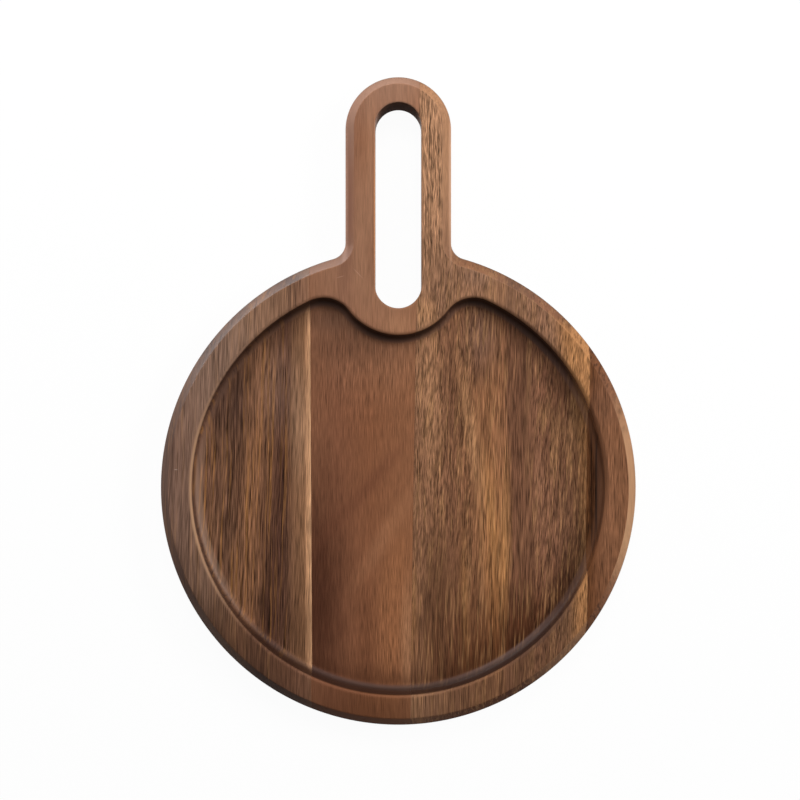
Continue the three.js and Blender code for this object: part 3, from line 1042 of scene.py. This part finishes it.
colour = add_fibres(tree, colour, tone, less_on(tree, rim, 5.0, share=0.3))
pores = pore_mask(tree, straight, width=0.5, length=9.0, sparse=0.6, seed=35.0)
colour = add_pores(tree, colour, pores, "#2f1c13", less_on(tree, rim, 0.5, share=0.3))
colour = add_moulding_tints(
    tree,
    unswayed,
    colour,
    # Painted shade: the lip and the steep wall below it darker at the right.
    ("#38231a", 0.4, add_group(tree, lip_band, {"Width": lip_radius}), (110, 25), (30, 45), 0.7),
    ("#1e0f08", 0.5, add_group(tree, steep_wall), (108, 0), (20, 40), 0.8),
)
bevel = add_group(tree, outer_bevel)
# Painted light: the bevel on the right tinted pale.
colour = add_patch(tree, straight, colour, "#b58b68", 0.8, (127, -8), (12, 85), on=bevel, seed=38.0)
finish_wood(tree, colour, tone, pores, hollow_shade_and_sheen=0.05)
right_stave = make_stave("dark_stave", dark_wood, right_joint)
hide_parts("right_stave")
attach(right_stave, "root")


# Glue lines: the films of cured wood glue that bond the staves, seen only as fine dark seams. They are the
# CAD model's own solids, which have the right shape already, in a dull brown.

glue, tree = new_material("glue")
straight = add_grain(tree, sway=1.0, ripple=1.0, seed=41.0)
tone = fibre_tone(tree, straight, width=0.5, length=6.0, seed=42.0)
colour = add_fibres(tree, linear("#6e4a36")[:3], tone, depth=1.4)
finish_wood(tree, colour, tone, tone)
for name in ("left_glue_line", "centre_glue_line", "handle_glue_line", "right_glue_line"):
    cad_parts[name].data.materials.clear()
    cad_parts[name].data.materials.append(glue)


# Table and surroundings: the tray lies on a white painted table in a white room. To the camera and in gloss
# both are plain white, while they throw little light on the wood, and the table takes the tray's shadow.

table_size = 6
table_clearance = 0.0002
table_brightness = 0.9
table_glow = 0.96
room_light = 0.1
plain_white = (1, 1, 1, 1)


def add_seen_white(tree):
    """1 for rays from the camera, straight or by way of gloss and glass, and 0 for light on other things."""
    ray = add_node(tree, "ShaderNodeLightPath").outputs
    mirrored = add_math(tree, "MAXIMUM", ray["Is Glossy Ray"], ray["Is Transmission Ray"])
    return add_math(tree, "MAXIMUM", ray["Is Camera Ray"], mirrored)


bpy.ops.mesh.primitive_plane_add(size=table_size, location=(0, 0, -table_clearance))
table = bpy.context.object
white, tree = new_material("white_table")
paint = add_node(tree, "ShaderNodeBsdfDiffuse", {"Color": (table_brightness,) * 3 + (1,)})
glow = add_node(tree, "ShaderNodeEmission", {"Color": plain_white, "Strength": 1.0})
share = add_product(tree, add_seen_white(tree), table_glow)
surface = add_node(tree, "ShaderNodeMixShader", {0: share, 1: paint.outputs[0], 2: glow.outputs[0]})
add_node(tree, "ShaderNodeOutputMaterial", {"Surface": surface.outputs[0]})
table.data.materials.append(white)

room = bpy.data.worlds.new("white_room")
room.use_nodes = True
tree = room.node_tree
tree.nodes.clear()
strength = add_math(tree, "MULTIPLY_ADD", add_seen_white(tree), 1 - room_light, room_light)
walls = add_node(tree, "ShaderNodeBackground", {"Color": plain_white, "Strength": strength})
add_node(tree, "ShaderNodeOutputWorld", {"Surface": walls.outputs[0]})
scene.world = room


# Studio light: four soft lamps, each aimed at the tray. The strong key stands at the right, a weaker lamp
# beyond the handle's end and a weak one overhead. A low strip at the upper left brightens the bevel there.


def add_softbox(name, place, target, width, height, power):
    """A soft lamp that points at a target."""
    lamp = bpy.data.lights.new(name, "AREA")
    lamp.shape = "RECTANGLE"
    lamp.size = width
    lamp.size_y = height
    lamp.energy = power
    softbox = bpy.data.objects.new(name, lamp)
    softbox.location = place
    softbox.rotation_euler = (Vector(target) - softbox.location).to_track_quat("-Z", "Y").to_euler()
    scene.collection.objects.link(softbox)


add_softbox("overhead", (0.1, 0.2, 1.1), (0, 0.05, 0), width=0.8, height=0.8, power=1.5)
add_softbox("key", (1.22, 0.45, 0.75), (0, 0.02, 0), width=0.9, height=0.35, power=17.0)
add_softbox("top", (0.0, 0.68, 0.68), (0, 0.1, 0), width=0.5, height=0.3, power=4.5)
add_softbox("upper_left_strip", (-0.45, 0.62, 0.08), (0, 0.05, 0), width=0.9, height=0.16, power=6.0)


# Camera: hangs above the tray and looks straight down, close enough for the slot and the recess to show their
# walls as in the photograph.

view_middle = (0.0009, 0.046)
camera_height = 0.55
camera = bpy.data.objects.new("camera", bpy.data.cameras.new("camera"))
camera.location = (*view_middle, thickness + camera_height)
camera.data.lens = 47.43
camera.data.sensor_width = 36
scene.collection.objects.link(camera)
scene.camera = camera
scene.view_settings.view_transform = "Standard"
